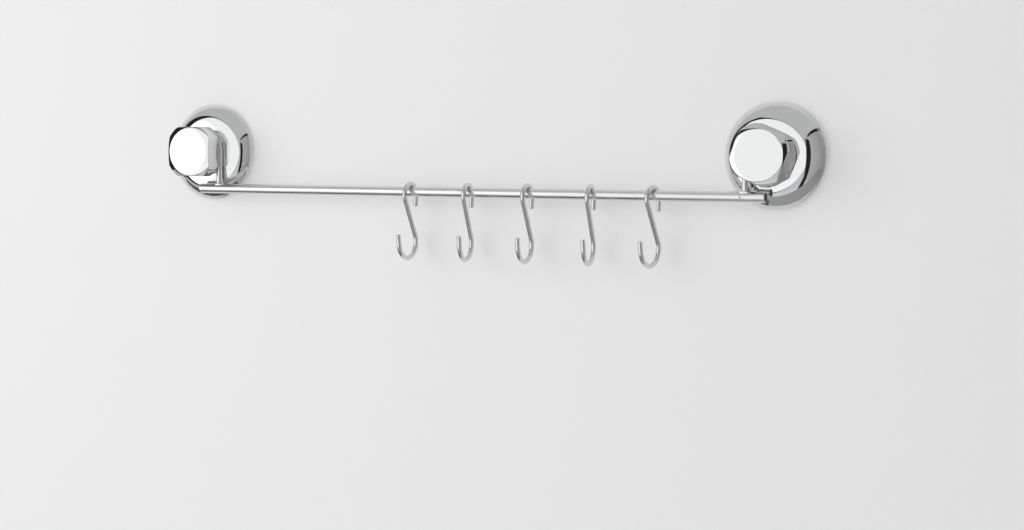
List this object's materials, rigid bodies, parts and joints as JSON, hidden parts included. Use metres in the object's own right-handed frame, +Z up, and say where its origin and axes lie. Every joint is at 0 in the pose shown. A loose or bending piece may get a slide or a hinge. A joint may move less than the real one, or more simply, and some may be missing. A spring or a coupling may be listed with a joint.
{
  "type": "kitchen utensil rail",
  "caption": "Steel rail for a wall, held off it by a screw-down suction cup at each end, with bent-wire S-hooks for hanging utensils.",
  "frame": {"origin": "on the wall, midway between the axes of the two suction cups, at their height", "axes": "+X along the rail to the right, +Y into the wall, +Z up"},
  "size_m": [0.578, 0.0362, 0.123],
  "materials": {
    "chrome": "mirror chrome plate",
    "polished_steel": "polished stainless steel",
    "zinc_steel": "zinc plated",
    "brass": "machined",
    "soft_pvc": "soft clear PVC",
    "dark_plastic": "moulded"
  },
  "bodies": {
    "rail_body": {"left_suction_cup": "soft_pvc", "left_dome_cover": "chrome", "left_bracket": "polished_steel", "left_washer": "zinc_steel", "right_suction_cup": "soft_pvc", "right_dome_cover": "chrome", "right_bracket": "polished_steel", "right_washer": "zinc_steel", "rail_tube": "polished_steel", "left_end_plug": "dark_plastic", "right_end_plug": "dark_plastic", "hook_1": "polished_steel", "hook_2": "polished_steel", "hook_3": "polished_steel", "hook_4": "polished_steel", "hook_5": "polished_steel"},
    "left_knob_body": {"left_knob": "chrome", "left_knob_insert": "brass"},
    "left_stud_body": {"left_stud": "zinc_steel"},
    "right_knob_body": {"right_knob": "chrome", "right_knob_insert": "brass"},
    "right_stud_body": {"right_stud": "zinc_steel"}
  },
  "joints": [
    {"name": "left_knob_turn", "type": "hinge", "parent": "rail_body", "child": "left_knob_body", "pos_m": [-0.25, 0, 0], "axis": [0, -1, 0], "range_deg": [0, 1080]},
    {"name": "left_stud_slide", "type": "slide", "parent": "rail_body", "child": "left_stud_body", "axis": [0, 1, 0], "range_m": [0, 0.00376], "deforming": ["left_suction_cup"]},
    {"name": "right_knob_turn", "type": "hinge", "parent": "rail_body", "child": "right_knob_body", "pos_m": [0.25, 0, 0], "axis": [0, -1, 0], "range_deg": [0, 1080]},
    {"name": "right_stud_slide", "type": "slide", "parent": "rail_body", "child": "right_stud_body", "axis": [0, 1, 0], "range_m": [0, 0.00376], "deforming": ["right_suction_cup"]}
  ],
  "couplings": [
    {"joint": "left_stud_slide", "follows": "left_knob_turn", "m_per_rad": 0.00019894},
    {"joint": "right_stud_slide", "follows": "right_knob_turn", "m_per_rad": 0.00019894}
  ]
}
